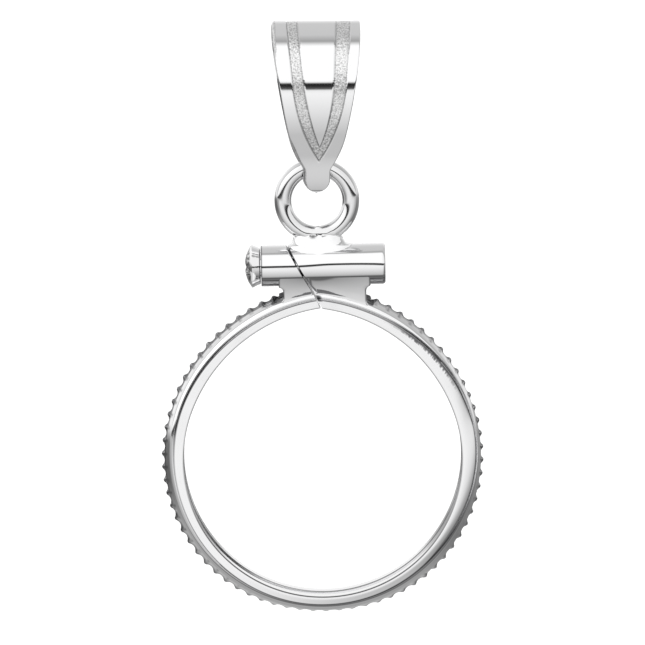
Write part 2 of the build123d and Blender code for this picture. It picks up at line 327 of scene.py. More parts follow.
def stitch(rows, closeAlong=False):
    # a skin over rows of points, all of one length, closed along or capped at both ends
    count = len(rows[0])
    points = [p for row in rows for p in row]
    faces = []
    steps = len(rows) if closeAlong else len(rows) - 1
    for i in range(steps):
        a, b = i * count, (i + 1) % len(rows) * count
        for k in range(count):
            m = (k + 1) % count
            faces.append((a + k, a + m, b + m, b + k))
    if not closeAlong:
        last = (len(rows) - 1) * count
        faces.append(tuple(range(count)))
        faces.append(tuple(range(last + count - 1, last - 1, -1)))
    return points, faces


# shared places, in mm from the chain seat

layout = {
    "ringZ": -19.458,
    "barrelZ": -10.717,
    "loopZ": -7.802,
    "hingeZ": -6.370,
    "cutX": -0.90,           # where the saw cut crosses the barrel's axis
    "cutAngle": 61.8,        # degrees down to the right
    "cutWidth": 0.07,
    "barrelRadius": 0.92,
}


def cutPlace(z, side):
    # x of the saw cut's wall at height z, side -1 for the left wall and 1 for the right
    slope = math.radians(layout["cutAngle"])
    x = layout["cutX"] + (layout["barrelZ"] - z) / math.tan(slope)
    return x + side * layout["cutWidth"] / 2 / math.sin(slope)


# ring: one section swept round, with scallops along its edge and its two ends bent to a low peak

ringValues = {
    "section": [             # radius, half width and how much painted shade, from the groove outward
        (6.56, 0, 0), (6.56, 0.2, 0), (6.56, 0.37, 0), (6.54, 0.38, 0), (6.34, 0.38, 0),
        (6.285, 0.38, 0.75), (6.27, 0.395, 0), (6.27, 0.56, 0), (6.27, 0.72, 0), (6.27, 0.88, 0),
        (6.27, 0.915, 0.5), (6.271, 0.938, 0.9), (6.276, 0.958, 1), (6.287, 0.97, 0.9),
        (6.303, 0.973, 0.6), (6.34, 0.9722, 0), (6.38, 0.9719, 0), (6.42, 0.9716, 0), (6.46, 0.9713, 0),
        (6.5, 0.971, 0), (6.54, 0.9707, 0), (6.575, 0.9704, 0), (6.612, 0.9702, 0), (6.626, 0.97, 0.5),
        (6.642, 0.9698, 1), (6.658, 0.969, 1), (6.661, 0.89, 1), (6.666, 0.82, 1), (6.672, 0.73, 1),
        (6.68, 0.64, 1), (6.689, 0.56, 1), (6.7, 0.515, 0.9), (6.712, 0.508, 0.6), (6.727, 0.518, 0.2),
        (6.742, 0.52, 0), (6.78, 0.503, 0), (6.82, 0.48, 0), (6.86, 0.455, 0), (6.895, 0.428, 0),
        (6.93, 0.392, 0), (6.97, 0.344, 0), (7.01, 0.292, 0), (7.05, 0.238, 0), (7.09, 0.184, 0),
        (7.13, 0.132, 0), (7.17, 0.088, 0.4), (7.205, 0.056, 0.8), (7.235, 0.034, 1), (7.255, 0.02, 1),
        (7.266, 0.01, 1), (7.27, 0, 1),
    ],
    # places round the ring: degrees from the top, clockwise, how far each way, then the amount
    "bevel": (146, 88, 0.44),        # slope of the lip's outer part at the lower right
    "roll": (97, 50, 2.4),           # the lip rolls off outward
    "wide": [(75, 65, 0.30), (293, 42, 0.085)],    # the lip is wider here, in mm
    "softRight": (98, 62, 0.35),     # the painted shade line behind the lip fades
    "softLeft": (265, 30, 0.60),
    "crease": (158, 75, 1.6),        # painted shade, a dark line below the lip at the bottom
    "hatch": (46, 24, 1.6),          # painted dark reflection, rough, at the lip's edge
    "darkWall": (300, 42, 1.5),      # painted shade all over the lip's wall
    "lightEdge": (165, 85, 1.6),     # the painted shade on the edge is lighter at the bottom
    "darkEdge": (315, 75, 1.5),      # and darker at the upper left
    "slopeStart": 6.40,
    "slopeEnd": 6.66,
    "lipEnd": 6.72,
    "wideEnd": 7.17,
    "wideRise": 0.22,
    "wideFall": 0.43,
    # radii between which each painted shade mark lies
    "lineEnd": 6.85,
    "wallZone": (6.668, 6.73),
    "creaseZone": (6.70, 6.84),
    "hatchZone": (6.55, 6.67),
    "shadeMarkZone": (6.60, 6.79),
    "spotZone": (7.00, 7.20),
    "creaseLine": (6.74, 0.11, 0.8),  # darkest radius, how far it fades, and how dark at most
    "hatchLine": (6.59, 0.07, 0.03),  # where it starts, how far it wanders inward, and its fade
    "faceHalf": 0.9,         # the lip's face is further than this from the middle plane
    "edgeStart": 7.08,
    "edgeRim": 7.18,
    "spot": (0.24, 0.75),            # painted shade, one on each scallop's ridge, in scallops, and how dark
    "shadeMark": (0.8, 1, 1, 0.9, 0.5),   # painted shade on the last rows at the cut, from the end
    "rootRadius": 7.03,
    "tipRadius": 7.27,
    "scallopCount": 74,
    "scallopDepth": 0.13,
    "ridgeDip": 0.024,
    "ridgeWidth": 0.16,
    "armAngle": 70.0,        # from the top, where the ends start to straighten
    "armExtra": 1.034,
    "plainLeft": -1.82,      # no scallops between these, by the bridge
    "plainRight": 2.35,
    "endBend": 12.0,         # degrees from the vertical, where the rows turn to the cut's own slant
    "endRows": 14,
    "wear": 0.62,            # share that is worn off the scallops at the bottom
    "wearAngle": 42.0,       # over this many degrees each way
    "stepsPerScallop": 12,
    "waviness": 0.004,
}


def armArc(radius, v=ringValues):
    # a bent end's arc: how far its middle is past the ring's, aside and down, and its radius
    extra, turn = v["armExtra"], math.radians(v["armAngle"])
    return extra * math.sin(turn), extra * math.cos(turn), radius + extra


def ringPlace(side, bend, radius):
    # a point of a bent end, bend in degrees from the vertical
    aside, down, reach = armArc(radius)
    b = math.radians(bend)
    return side * (reach * math.sin(b) - aside), reach * math.cos(b) - down


def ringHeight(x, radius):
    # height of the ring's bent ends above its centre at x
    aside, down, reach = armArc(radius)
    return math.sqrt(reach**2 - (abs(x) + aside) ** 2) - down


def cutBend(side, radius):
    # how far round a bent end the wall of the saw cut is
    aside, down, reach = armArc(radius)
    slope = math.radians(layout["cutAngle"])
    centre = Vector((-side * aside, -down))
    normal = Vector((math.sin(slope), math.cos(slope)))
    start = Vector((layout["cutX"], layout["barrelZ"] - layout["ringZ"]))
    k = normal.dot(start - centre) + side * layout["cutWidth"] / 2
    away = math.acos(k / reach)
    return math.degrees(slope - away if side > 0 else away - slope)


def near(around, place, top=None):
    # how strong something is at a place round the ring, kept under top
    middle, reach, amount = place
    strength = amount * hump(around - middle, reach)
    return strength if top is None else min(top, strength)


def ringMarks(v, section, dark, around, a, speck, shadeMark):
    # how much painted shade each point of one row gets
    low = near(around, v["lightEdge"], 1)
    hatch = near(around, v["hatch"], 1)
    soft = 1 - near(around, v["softRight"]) - near(around, v["softLeft"])
    wall = lerp(0.25, 1, max(hatch, near(around, v["darkWall"], 1)))
    creaseAt, creaseFade, creaseDark = v["creaseLine"]
    crease = near(around, v["crease"], creaseDark)
    hatchAt, wander, hatchFade = v["hatchLine"]
    spotWidth, spotDark = v["spot"]
    ridge = hump(abs(a - math.floor(a) - 0.5) - 0.5, spotWidth)
    spot = spotDark * ridge * (1 - low) * lerp(0.4, 1, speck)
    edge = lerp(0.35, 1, near(around, v["darkEdge"], 1))

    def within(r, zone):
        return v[zone][0] < r < v[zone][1]

    out = []
    for (r, y), d in zip(section, dark):
        if r < v["lineEnd"]:
            d *= soft
        if within(r, "wallZone"):
            d *= wall
        if within(r, "creaseZone"):
            d = max(d, crease * (1 - abs(r - creaseAt) / creaseFade))
        if within(r, "hatchZone") and abs(y) > v["faceHalf"]:
            d = max(d, hatch * min(1, max(0, (r - hatchAt + wander * speck) / hatchFade)))
        if within(r, "spotZone"):
            d = max(d, spot)
        if r > v["edgeStart"]:
            d = max(d, (1 if r > v["edgeRim"] else edge) * (1 - low))
            d *= lerp(1, 0.4, low) * lerp(0.75, 1, speck)
        if within(r, "shadeMarkZone") and y < 0:
            d = max(d, shadeMark)
        out.append(d)
    return out


def makeRing(v):
    half = v["section"]
    whole = [(r, -y, d) for r, y, d in half] + half[-2:0:-1]
    section, dark = [(r, y) for r, y, d in whole], [d for r, y, d in whole]
    step = 360 / v["scallopCount"]
    root, tip = v["rootRadius"], v["tipRadius"]
    dip, deep = v["ridgeDip"], v["scallopDepth"]
    pitch = 2 * math.pi * tip / v["scallopCount"]
    valley = pitch / 2 - v["ridgeWidth"] / 2
    arc = (valley**2 + deep**2) / (2 * deep)
    armStart = (180 - v["armAngle"]) / step
    armStep = step * tip / (tip + v["armExtra"])

    def edgeDrop(a, x, z):
        # how far the edge is cut in, a counted in scallops from the bottom
        if z > 0 and v["plainLeft"] < x < v["plainRight"]:
            return 0.0
        d = abs(a - math.floor(a) - 0.5) * pitch
        if d >= valley:
            return dip * ((pitch / 2 - d) / (v["ridgeWidth"] / 2)) ** 2
        return dip + (deep - dip) * (1 - (arc - math.sqrt(arc**2 - d * d)) / deep)

    def row(side, a, blend=0.0):
        points = []
        for r, y in section:
            if a <= armStart:
                turn = math.radians(180 - a * step)
                place = lambda q: (side * q * math.sin(turn), q * math.cos(turn))
            else:
                bend = v["armAngle"] - (a - armStart) * armStep
                bend = lerp(bend, cutBend(side, r), blend)
                place = lambda q, b=bend: ringPlace(side, b, q)
            x, z = place(r)
            if r > root:
                drop = edgeDrop(a, x, z)
                worn = 1 - v["wear"] * (1 - easeStep(a * step / v["wearAngle"]))
                x, z = place(root + (r - root) * (1 - drop / (tip - root)) * worn)
            around = math.degrees(math.atan2(x, z)) % 360
            if r < v["lipEnd"]:
                far = max(min(r, v["slopeEnd"]) - v["slopeStart"], 0)
                fall = near(around, v["bevel"]) * far + near(around, v["roll"]) * far * far
                y -= math.copysign(fall * abs(y), y)
            wide = sum(near(around, part) for part in v["wide"])
            if v["slopeStart"] < r < v["wideEnd"] and wide:
                share = min((r - v["slopeStart"]) / v["wideRise"], 1, (v["wideEnd"] - r) / v["wideFall"])
                x, z = place(r + wide * share)
            lift = 1 + v["waviness"] * waves((x, y, z), 1.6, 3) / 7
            points.append((x * lift, y, layout["ringZ"] + z * lift))
        return points

    endCount = armStart + (v["armAngle"] - v["endBend"]) / armStep
    marks = spread(0, endCount, int(endCount * v["stepsPerScallop"]))
    blends = [easeStep(t) * 0.15 + t * 0.85 for t in spread(0, 1, v["endRows"])[1:]]
    right = [row(1, a) for a in marks] + [row(1, endCount, t) for t in blends]
    left = [row(-1, a) for a in marks[1:]] + [row(-1, endCount, t) for t in blends]
    rows = left[::-1] + right
    places = marks + [endCount] * len(blends)
    places = places[:0:-1] + places
    lines = []
    for i, (points, a) in enumerate(zip(rows, places)):
        x, y, z = points[len(points) // 2]
        around = math.degrees(math.atan2(x, z - layout["ringZ"])) % 360
        speck = (math.sin(i * 12.9898) * 43758.5) % 1
        fromEnd = len(rows) - 1 - i
        shadeMark = v["shadeMark"][fromEnd] if fromEnd < len(v["shadeMark"]) else 0
        lines += ringMarks(v, section, dark, around, a, speck, shadeMark)
    # the marks are painted shade on the ring
    addPiece("ringBand", *stitch(rows), "bezel", "bezel", 30, {"engravedLine": lines})


# barrel: two sleeves either side of the saw cut

barrelValues = {
    "left": -2.57,
    "right": 3.01,
    "bore": 0.53,
    "boreEnd": 2.35,
    "endRound": 0.13,
    "edgeRound": 0.025,
    "around": 120,
    "wallRows": (26, 44),    # of the left and the right sleeve
    "endAngles": (18, 36, 54, 72, 90),
    "faceRadius": 0.45,      # the right end bulges a little
    "faceOut": 0.004,
    "middle": 0.05,          # radius of the end caps' own middle
    "underside": 0.72,       # how dark the painted shade on the underside is
    "underPlace": (285, 47, 12),     # degrees up from the front over the top, half width and fade
    "waviness": 0.0025,
    # hand-filed flat on the right part, which moves the reflections up
    "frontLift": 0.030,
    "liftAlong": (-1.3, 1.9),        # x where it starts, and over how much it grows
    "liftRound": (12, 60),           # degrees, and how far each way
    "liftTurns": 2.2,
}


def barrelPoint(x, turn, radius, worked=0.0, v=barrelValues):
    # turn in degrees from the front (0) up over the top (90) to the back
    t = math.radians(turn)
    if worked:
        grow = v["waviness"] * waves((x, radius * math.cos(t), radius * math.sin(t)), 1.3, 5)
        start, run = v["liftAlong"]
        middle, reach = v["liftRound"]
        lift = v["frontLift"] * easeStep((x - start) / run) * hump(turn - middle, reach)
        grow += lift * math.sin(math.radians(v["liftTurns"] * turn))
        radius += grow * worked
    return (x, -radius * math.cos(t), layout["barrelZ"] + radius * math.sin(t))


def makeBarrel(v):
    big, bore, ease = layout["barrelRadius"], v["bore"], v["edgeRound"]
    turns = [360 * k / v["around"] for k in range(v["around"])]

    def cutX(side, t, radius):
        return cutPlace(layout["barrelZ"] + radius * math.sin(math.radians(t)), side)

    def cutRow(side, radius):
        return [barrelPoint(cutX(side, t, radius), t, radius) for t in turns]

    def shade(dark):
        # painted shade: dark rows at the ends and by the cut, and on the underside
        middle, half, fade = v["underPlace"]
        under = [v["underside"] * easeStep((half - abs(t - middle)) / fade + 0.5) for t in turns]
        return [max(d, u) for d in dark for u in under]

    def flat(x, radius):
        return [barrelPoint(x, t, radius) for t in turns]

    def wall(side, fromX, count):
        # the outside, from a straight end to the cut, its hand work fading at both
        rows = []
        for s in spread(0, 1, count):
            worked = hump(s - 0.5, 0.52) ** 0.3
            places = [lerp(fromX, cutX(side, t, big) + side * ease, s) for t in turns]
            rows.append([barrelPoint(x, t, big, worked) for x, t in zip(places, turns)])
        return rows

    left, right, endRound = v["left"], v["right"], v["endRound"]
    leftCount, rightCount = v["wallRows"]
    rows = [flat(left, bore), flat(left, big - ease), flat(left + 0.3 * ease, big - 0.3 * ease)]
    rows += [flat(left + ease, big), flat(left + 2 * ease, big)]
    rows += wall(-1, left + 3.5 * ease, leftCount)
    rows += [cutRow(-1, big - ease), cutRow(-1, bore)]
    # painted shade at the left end and in the cut
    dark = [1, 1, 1, 1, 0.3] + [0] * (len(rows) - 7) + [1, 1]
    skin = stitch(rows, closeAlong=True)
    addPiece("barrelLeft", *skin, "bezel", "bezel", 40, {"engravedLine": shade(dark)})

    rows = [flat(v["boreEnd"], v["middle"]), flat(v["boreEnd"], bore)]
    rows += [cutRow(1, bore), cutRow(1, big - ease)]
    rows += wall(1, right - endRound, rightCount)[::-1]
    for a in v["endAngles"]:
        t = math.radians(a)
        rows.append(flat(right - endRound * (1 - math.sin(t)), big - endRound * (1 - math.cos(t))))
    rows += [flat(right + v["faceOut"], v["faceRadius"]), flat(right + v["faceOut"], v["middle"])]
    # painted shade in the cut, and a painted dark outline round the right end
    dark = [1, 1, 1, 1] + [0] * (len(rows) - 11) + [0, 0, 0.3, 0.8, 0.3, 0, 0]
    addPiece("barrelRight", *stitch(rows), "bezel", "bezel", 40, {"engravedLine": shade(dark)})


# bridge: two blocks of solder-filled metal under the barrel, either side of the cut

bridgeValues = {
    "left": -1.60,
    "right": 2.13,
    "topFlare": 0.24,
    "footFlare": 0.16,
    "flareShares": (0.985, 0.9),     # of each flare's radius, so that none ends level
    "footHalf": 0.47,
    "topHalf": 0.775,
    "footSlope": 0.27,       # how much the front leans out per mm of height, foot and top
    "topSlope": 0.62,
    "footRadius": 6.90,      # on the ring
    "corner": 0.10,
    "cutCorner": 0.02,
    "cornerAngles": (22, 45, 68, 90),
    "rimSteps": (14, 6, 5),  # along the front, round the outer side and across the cut
    "rounds": 4,
    "levels": 26,
    "sunk": 0.06,            # share of the height that is inside the ring
    "lump": 0.012,
    "darkTone": (0.12, 0.42),    # painted shade, foot and top, darker up under the barrel
}


def makeBridge(v):
    zTop = layout["barrelZ"] - math.sqrt(layout["barrelRadius"] ** 2 - v["topHalf"] ** 2)
    under = layout["barrelZ"] - layout["barrelRadius"]

    def footZ(x):
        return layout["ringZ"] + ringHeight(x, v["footRadius"])

    def fillet(deep, radius, most):
        # how far a fillet stands out at this depth into it
        deep = min(max(deep, 0), most * radius)
        return radius - math.sqrt(radius**2 - deep**2)

    def sideFlare(z, x):
        up = z - (under - v["topFlare"])
        low = v["footFlare"] - (z - footZ(x))
        top, foot = v["flareShares"]
        return fillet(up, v["topFlare"], top) + fillet(low, v["footFlare"], foot)

    def block(side):
        outer = v["left"] if side < 0 else v["right"]
        high = zTop - footZ(0)
        footSlope, topSlope = v["footSlope"] * high, v["topSlope"] * high
        c, k = v["corner"], v["cutCorner"]
        angles = [math.radians(a) for a in v["cornerAngles"]]
        along, outside, across = v["rimSteps"]
        rows, lines = [], []
        for s in spread(-v["sunk"], 1, v["levels"]):
            half = hermite(max(s, 0), v["footHalf"], v["topHalf"], footSlope, topSlope)
            row = []
            # the rim of a rounded block: front, outer side, back, then the cut
            stops = [(t, 0, -half, 0) for t in spread(0, 1, along)]
            stops += [(1, c * math.sin(r), -half + c * (1 - math.cos(r)), 0) for r in angles]
            stops += [(1, c, lerp(-half + c, half - c, t), 0) for t in spread(0, 1, outside)[1:-1]]
            stops += [(1, c * math.sin(r), half - c * (1 - math.cos(r)), 0) for r in angles[::-1]]
            stops += [(t, 0, half, 0) for t in spread(1, 0, along)]
            stops += [(0, 0, lerp(half - k, -half + k, t), -k) for t in spread(0, 1, across)]
            for t, out, y, inset in stops:
                # x depends on the height, and the height on x, so it settles in a few rounds
                x = outer
                for again in range(v["rounds"]):
                    z = lerp(footZ(x), zTop, s)
                    nearCut = cutPlace(z, side) + side * (k + inset)
                    farSide = outer + side * (sideFlare(z, outer) - c)
                    x = lerp(nearCut, farSide, t) + side * out
                lump = v["lump"] * waves((x, y, z), 0.55, 8) * hump(s - 0.1, 0.5)
                row.append((x, y + math.copysign(lump, y), z))
            rows.append(row)
            # painted shade, darker towards the top under the barrel
            lines += [lerp(*v["darkTone"], max(s, 0))] * len(row)
        return rows, lines

    for name, side in (("bridgeLeft", -1), ("bridgeRight", 1)):
        rows, lines = block(side)
        addPiece(name, *stitch(rows), "bezel", "bezel", 50, {"engravedLine": lines})


# loop of round wire, with the solder that joins it to the barrel

loopValues = {
    "radius": 1.527,
    "wire": 0.378,
    "around": 240,
    "across": 64,
    "bead": (0.02, -0.24, -1.12),      # a drop of solder on the wire, from the loop's middle
    "beadReach": 0.208,
    "beadHeight": 0.13,
    "waviness": 0.004,
    "lumps": (1.25, 0.35, 0.022),      # how far down they start, the way to full size, their height
    "shadeMark": (-0.21, -0.36, -1.60),     # a pit in the solder, with painted shade in it
    "nickSize": 0.21,
    "nickStretch": (1, 0.5, 1.6),
    "nickDepth": 0.06,
}


def pitted(p, v=loopValues):
    # 1 in the middle of the pit, from the loop's middle
    away = Vector(p) - Vector(v["shadeMark"])
    return hump(Vector([d * k for d, k in zip(away, v["nickStretch"])]).length, v["nickSize"])


def makeLoop(v):
    start, run, lumpHeight = v["lumps"]
    rows, lines = [], []
    for a in fullTurn(v["around"]):
        row = []
        for b in fullTurn(v["across"]):
            out = Vector((math.sin(a) * math.cos(b), -math.sin(b), math.cos(a) * math.cos(b)))
            centre = Vector((math.sin(a), 0, math.cos(a))) * v["radius"]
            p = centre + out * v["wire"]
            low = easeStep((-p.z - start) / run)
            r = v["wire"] + v["waviness"] * waves(p, 0.9, 11) + lumpHeight * low * waves(p, 0.22, 32)
            r += v["beadHeight"] * hump((p - Vector(v["bead"])).length, v["beadReach"])
            # painted shade in the pit
            lines.append(pitted(p))
            p = centre + out * (r - v["nickDepth"] * lines[-1])
            row.append((p.x, p.y, p.z + layout["loopZ"]))
        rows.append(row)
    skin = stitch(rows, closeAlong=True)
    addPiece("wireLoop", *skin, "bezel", "bezel", 60, {"engravedLine": lines})


saddleValues = {
    "neckHalf": 1.10,
    "footLeft": 1.34,
    "footRight": 1.55,
    "height": 0.36,
    "footDepth": 0.80,
    "crownInside": 0.05,     # how far the top ends inside the wire
    "crownDepth": 0.96,      # share of the wire's radius
    "crownSlope": -0.1,
    "neckTaper": 0.8,
    "squareness": 3.2,
    "lump": 0.02,
    "fineLump": 0.05,
    "nickDepth": 0.12,
    "levels": 36,
    "around": 96,
}


def makeSaddle(v):
    footZ = layout["barrelZ"] + math.sqrt(layout["barrelRadius"] ** 2 - v["footDepth"] ** 2)
    crownZ = layout["loopZ"] - loopValues["radius"] + v["crownInside"]
    neckZ = layout["barrelZ"] + layout["barrelRadius"] + v["height"]
    high = crownZ - footZ
    slope = (footZ - layout["barrelZ"]) / v["footDepth"]
    crown = v["crownDepth"] * loopValues["wire"]
    rows, lines = [], []
    for z in spread(footZ, crownZ, v["levels"]):
        if z < neckZ:
            drop = min((neckZ - z) / v["height"], 1.0)
            flare = 1 - math.sqrt(max(1 - drop * drop, 0))
            left = lerp(v["neckHalf"], v["footLeft"], flare)
            right = lerp(v["neckHalf"], v["footRight"], flare)
        else:
            left = right = v["neckHalf"] * lerp(1, v["neckTaper"], (z - neckZ) / (crownZ - neckZ))
        # the front leaves the barrel along its own curve and ends upright at the wire
        rise = (z - footZ) / high
        depth = hermite(rise, v["footDepth"], crown, -slope * high, v["crownSlope"])
        row = []
        for a in fullTurn(v["around"]):
            c, s = math.cos(a), math.sin(a)
            q = (abs(c) ** v["squareness"] + abs(s) ** v["squareness"]) ** (-1 / v["squareness"])
            x, y = c * q * (right if c > 0 else left), s * q * depth
            lump = 1 + v["lump"] * waves((x, y, z), 0.4, 14)
            lump += v["fineLump"] * rise**2 * waves((x, y, z), 0.17, 31)
            pit = pitted((x * lump, y * lump, z - layout["loopZ"]))
            # painted shade in the pit
            lines.append(pit)
            row.append((x * lump, y * (lump - v["nickDepth"] * pit), z))
        rows.append(row)
    addPiece("solderSaddle", *stitch(rows), "bezel", "bezel", 60, {"engravedLine": lines})


# bail: a tapered strap folded over the chain, with a matte V band on its front

bailValues = {
    "width": 3.95,
    "wall": 0.30,
    "height": 7.67,
    "crownRadius": 0.90,
    "crownAngle": 61.0,
    "flankRadius": 3.20,
    "bellyShare": 1.33,
    "seatRadius": 0.508,
    "tongueDepth": 0.808,
    "tongueHalf": 0.60,
    "tipRound": 0.28,
    "tongueFull": 0.13,
    "edgeRound": 0.045,
    # the left edge is filed: height, and how far in from the edge
    "filedEdge": [
        (0.3, 0.17), (-0.7, 0.15), (-1.3, 0.07), (-4.6, 0.07), (-5.4, 0.17), (-6.9, 0.15), (-7.4, 0.06),
    ],
    "filedDepth": 0.22,
    "filedFull": 0.17,
    "flatShare": 0.3,        # at least this share of each half stays flat
    "leftRim": (math.pi / 2, 1.2, 0.85, 0.55, 0.28),
    "rightRim": (0.5, 1.0, math.pi / 2),
    # painted shade: a dark outline along both edges
    "rimDark": 0.75,
    "rasp": (0.9, 0.22),     # how matte the filed edge is, and how much painted shade it gets
    "raspFull": 0.16,
    "turn": 1.8,             # degrees, the play on the loop
    "lean": 1.1,
    # front outline: share of the height down, share of half the width out
    "shoulder": (0.17, 0.962),
    "hip": (0.645, 0.661),
    "waistRise": 1.17,
    "waistFlare": 0.075,
    # V band: the same shares, then the points of the two Vs
    "bandTopOut": 0.729,
    "bandKnee": (0.365, 0.600),
    "bandPointRise": 1.45,
    "gapTopOut": 0.443,
    "gapKnee": (0.3286, 0.349),
    "gapPointDown": 0.725,
    "bandShift": 0.10,       # the outer V is off the middle, and so is the inner one lower down
    "gapShift": (0.03, 0.12),
    "gapShiftEnd": 0.7,      # share of the height down where it is all there
    "bandWrap": 0.70,
    "bandRecess": 0.022,
    "borderWidth": 0.038,
    # painted shade in the engraved border
    "borderDark": 0.55,
    "borderDepth": 0.030,
    "grainSize": 0.08,
    "grainDepth": 0.018,
    "columns": (16, 18, 14, 14, 18, 16),    # across the front, between the edges and the band's lines
    "innerColumns": 16,
    "columnRoom": 0.16,      # least share of the even spacing between columns
    "rowStep": 0.036,
    "backCoarser": 2.5,
    "seatTail": 0.42,        # share of the straight run that the seat takes
    "tipTurn": 82,
    "tipRows": 7,
    "fullPlace": (0.22, 1.5),        # mm above the tip, and how far each way
}


class Arc:
    # an arc from a point with a direction to another point, as x against z
    def __init__(self, start, way, end):
        self.start, self.end = Vector(start), Vector(end)
        chord = self.end - self.start
        side = Vector((-way[1], way[0]))
        self.radius = chord.length_squared / (2 * chord.dot(side))
        self.centre = self.start + side * self.radius
        tail = self.end - self.centre
        self.way = Vector((-tail.y, tail.x)).normalized()
        if self.radius < 0:
            self.way = -self.way

    def at(self, z):
        d = z - self.centre.y
        reach = math.sqrt(max(self.radius**2 - d * d, 0))
        middle = (self.start.x + self.end.x) / 2
        return self.centre.x + (reach if middle > self.centre.x else -reach)


def makeBail(v):
    top = v["wall"]
    tipZ = top - v["height"]
    hingeZ = layout["hingeZ"]
    half = v["width"] / 2

    def share(down, out):
        return (out * half, top - down * v["height"])

    # front outline
    arcs = []
    way = Vector((0, -1))
    place = (half, top)
    waist = (v["tongueHalf"] + v["waistFlare"], tipZ + v["waistRise"])
    for target in (share(*v["shoulder"]), share(*v["hip"]), waist):
        arcs.append(Arc(place, way, target))
        way, place = arcs[-1].way, target
    slope = math.asin(-way.x)
    curl = v["waistFlare"] / (1 - math.cos(slope))
    curlCentre = Vector(place) + Vector((-way.y, way.x)) * curl
    curlEnd = curlCentre.y

    def halfWidth(z):
        for arc in arcs:
            if z >= arc.end.y:
                return arc.at(z)
        if z >= curlEnd:
            return curlCentre.x - math.sqrt(max(curl**2 - (z - curlEnd) ** 2, 0))
        d = tipZ + v["tongueHalf"] - z
        if d <= 0:
            return v["tongueHalf"]
        return math.sqrt(max(v["tongueHalf"] ** 2 - d * d, 1e-6))

    # the two Vs of the band
    outKnee, gapKnee = share(*v["bandKnee"]), share(*v["gapKnee"])
    outTop, gapTop = share(0, v["bandTopOut"]), share(0, v["gapTopOut"])
    outWay = (Vector(outKnee) - Vector(outTop)).normalized()
    gapWay = (Vector(gapKnee) - Vector(gapTop)).normalized()
    outPoint = tipZ + v["bandPointRise"]
    gapPoint = top - v["gapPointDown"] * v["height"]
    outArc = Arc(outKnee, outWay, (0, outPoint))
    gapArc = Arc(gapKnee, gapWay, (0, gapPoint))

    def vLine(z, start, knee, arc, point):
        if z > knee[1]:
            return lerp(knee[0], start[0], (z - knee[1]) / (start[1] - knee[1]))
        if z > point:
            return arc.at(z)
        return -(point - z) * 0.4

    def outerV(z):
        return vLine(z, outTop, outKnee, outArc, outPoint)

    def innerV(z):
        return vLine(z, gapTop, gapKnee, gapArc, gapPoint)

    # side view: stations down one half of the folded strap, each an outer and an inner point
    def around(centre, radius, angle):
        t = math.radians(angle)
        return Vector((centre[0] + radius * math.cos(t), centre[1] + radius * math.sin(t)))

    crown = (0, top - v["crownRadius"])
    flank = around(crown, v["crownRadius"] - v["flankRadius"], v["crownAngle"])
    bellyRadius = v["bellyShare"] * (flank.y - hingeZ)
    belly = flank + Vector((v["flankRadius"] - bellyRadius, 0))
    seat = Vector((0, hingeZ))
    drop = seat - belly
    spare = math.acos((bellyRadius - v["tongueDepth"]) / drop.length)
    fall = math.degrees(math.atan2(-drop.y, drop.x) - spare)

    def stations(step):
        out = []

        def bend(centre, radius, a, b):
            n = max(3, int(abs(math.radians(b - a)) * radius / step))
            for t in spread(a, b, n)[1 if out else 0:]:
                inner = around(centre, radius - v["wall"], t)
                out.append((around(centre, radius, t), inner, around((0, 0), 1, t)))

        bend(crown, v["crownRadius"], 90, v["crownAngle"])
        bend(flank, v["flankRadius"], v["crownAngle"], 0)
        bend(belly, bellyRadius, 0, -fall)
        normal = around((0, 0), 1, -fall)
        touch, innerTouch = around(seat, v["tongueDepth"], -fall), around(seat, v["seatRadius"], -fall)
        a = out[-1]
        n = max(2, int((touch - a[0]).length / step))
        for t in spread(0, 1, n)[1:]:
            out.append((a[0].lerp(touch, t), a[1].lerp(innerTouch, t), normal))
        # the inner face goes round the wire's seat, the outer one straight on to the tip
        turn = math.radians(fall)
        low = tipZ + v["tipRound"]
        inset = v["tongueDepth"] - v["tipRound"] + math.sin(turn) * (low - hingeZ)
        tip = Vector((inset / math.cos(turn), low))
        lineEnd = around(tip, v["tipRound"], -fall)
        under = touch.lerp(lineEnd, v["seatTail"])
        n = max(6, int(v["seatRadius"] / step))
        for t in spread(0, 1, n)[1:]:
            out.append((touch.lerp(under, t), around(seat, v["seatRadius"], -lerp(fall, 90, t)), normal))
        seatEnd = len(out) - 1
        seatLow = out[-1][1].y
        n = max(3, int((under - lineEnd).length / step))
        for t in spread(0, 1, n)[1:]:
            p = under.lerp(lineEnd, t)
            out.append((p, Vector((0, lerp(seatLow, p.y, t))), normal))
        for t in spread(fall, v["tipTurn"], v["tipRows"])[1:]:
            p = around(tip, v["tipRound"], -t)
            out.append((p, Vector((0, p.y)), around((0, 0), 1, -t)))
        # the tongue is a little fuller towards its tip
        rise, reach = v["fullPlace"]
        for i, (o, inner, way) in enumerate(out):
            full = v["tongueFull"] * hump(o.y - (tipZ + rise), reach)
            out[i] = (o + normal * full, inner, way)
        return out, seatEnd

    edge, counts = v["edgeRound"], v["columns"]
    innerCount = v["innerColumns"] + 1

    def filed(z):
        # how far the left edge is filed away
        stops = v["filedEdge"]
        for (z0, a0), (z1, a1) in zip(stops, stops[1:]):
            if z >= z1:
                return lerp(a0, a1, easeStep((z - z0) / (z1 - z0)))
        return stops[-1][1]

    def gapMiddle(z):
        return lerp(*v["gapShift"], easeStep((top - z) / v["height"] / v["gapShiftEnd"]))

    def columnPlaces(z):
        # columns across the front: left edge, the band's lines, right edge
        w = halfWidth(z)
        least = v["flatShare"] * w
        right = max(w - edge, least)
        left = -max(w - filed(z), least)
        o, g, middle = max(outerV(z), 0), max(innerV(z), 0), gapMiddle(z)
        lines = [v["bandShift"] - o, middle - g, middle, middle + g, v["bandShift"] + o]
        shares = bandShares(lines, left, right)
        marks = [left] + [left + (right - left) * share for share in shares] + [right]
        places = [left]
        for a, b, n in zip(marks, marks[1:], counts):
            places += spread(a, b, n)[1:]
        return places, w, left, right

    def bandShares(lines, left, right):
